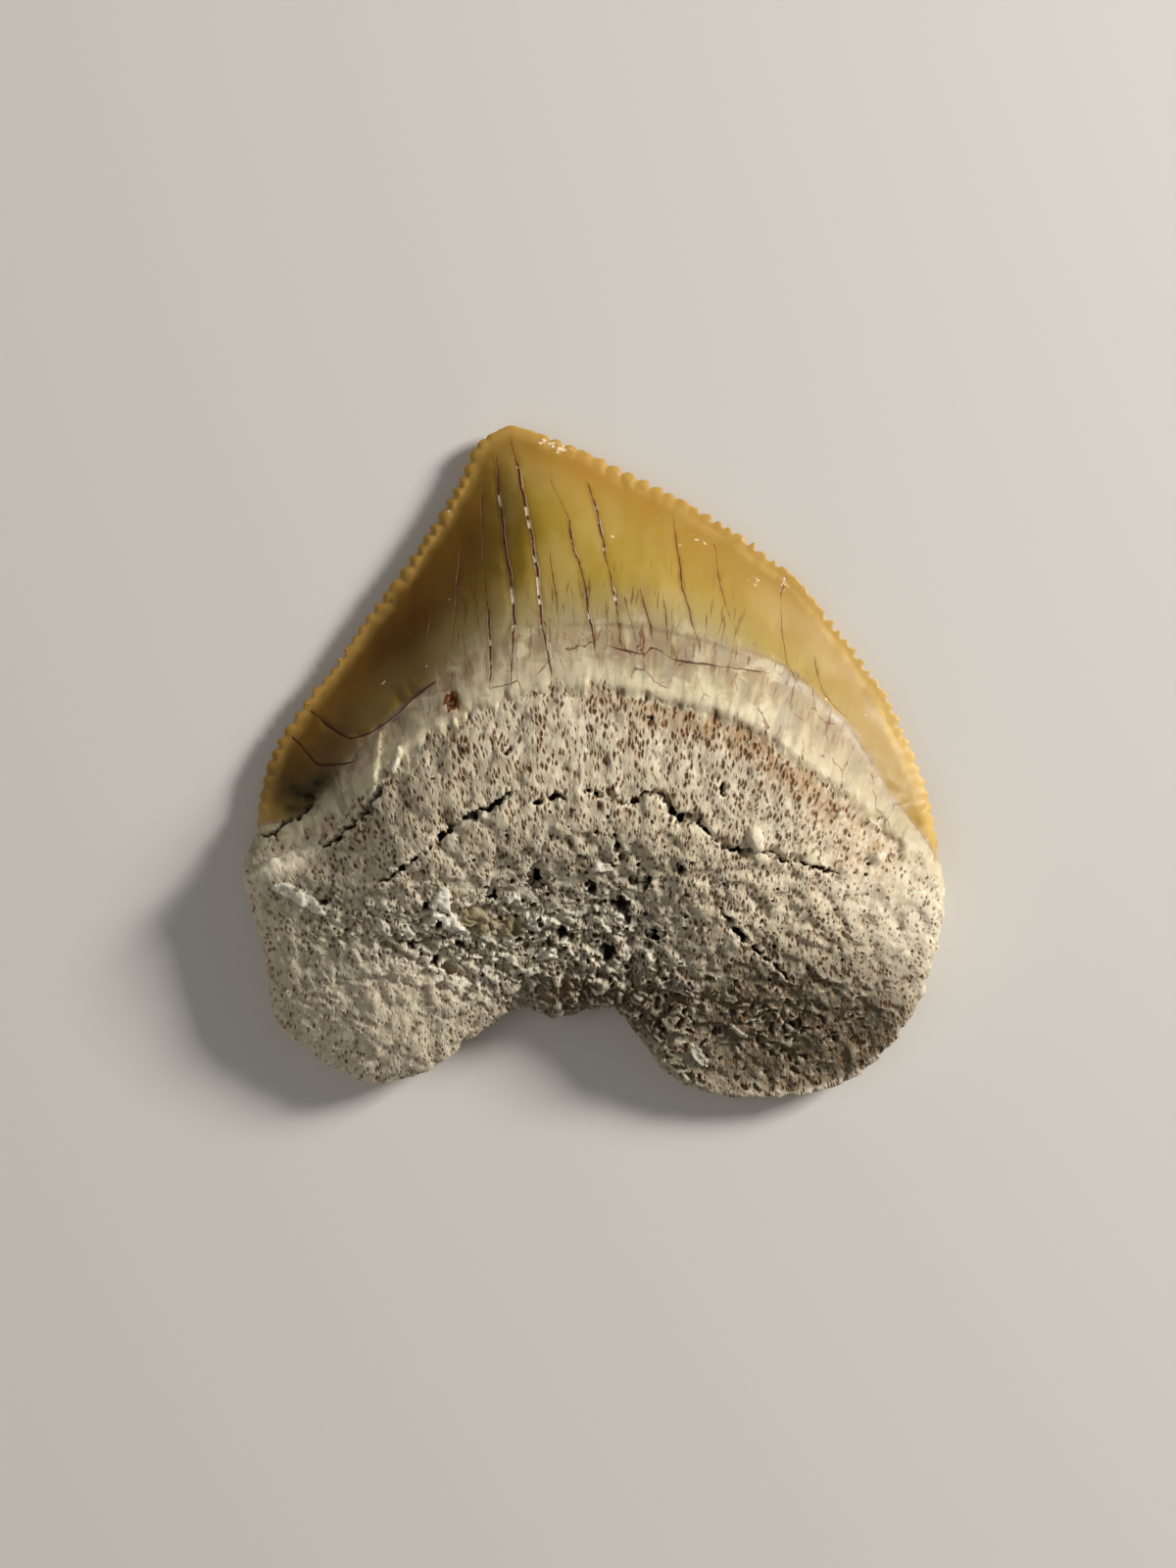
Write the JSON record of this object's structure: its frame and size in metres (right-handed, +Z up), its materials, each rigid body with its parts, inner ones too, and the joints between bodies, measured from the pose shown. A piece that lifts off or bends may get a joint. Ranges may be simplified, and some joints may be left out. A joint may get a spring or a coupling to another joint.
{
  "type": "fossil crow shark tooth",
  "caption": "Fossil crow shark tooth: a low triangular crown with serrated edges, leaning to one side, on a thick porous root with two lobes.",
  "frame": {"origin": "middle of the bounding box's base, on the surface that the tooth lies on", "axes": "+Z up, out of the swollen inner (lingual) face; +Y from the root towards the crown's tip; +X across the tooth, towards the long front (mesial) edge"},
  "size_m": [0.027, 0.026, 0.0056],
  "materials": {
    "tooth": "glossy ochre enamel over a matt, porous, beige-grey root"
  },
  "bodies": {
    "root": {"tooth": "tooth"}
  },
  "joints": []
}
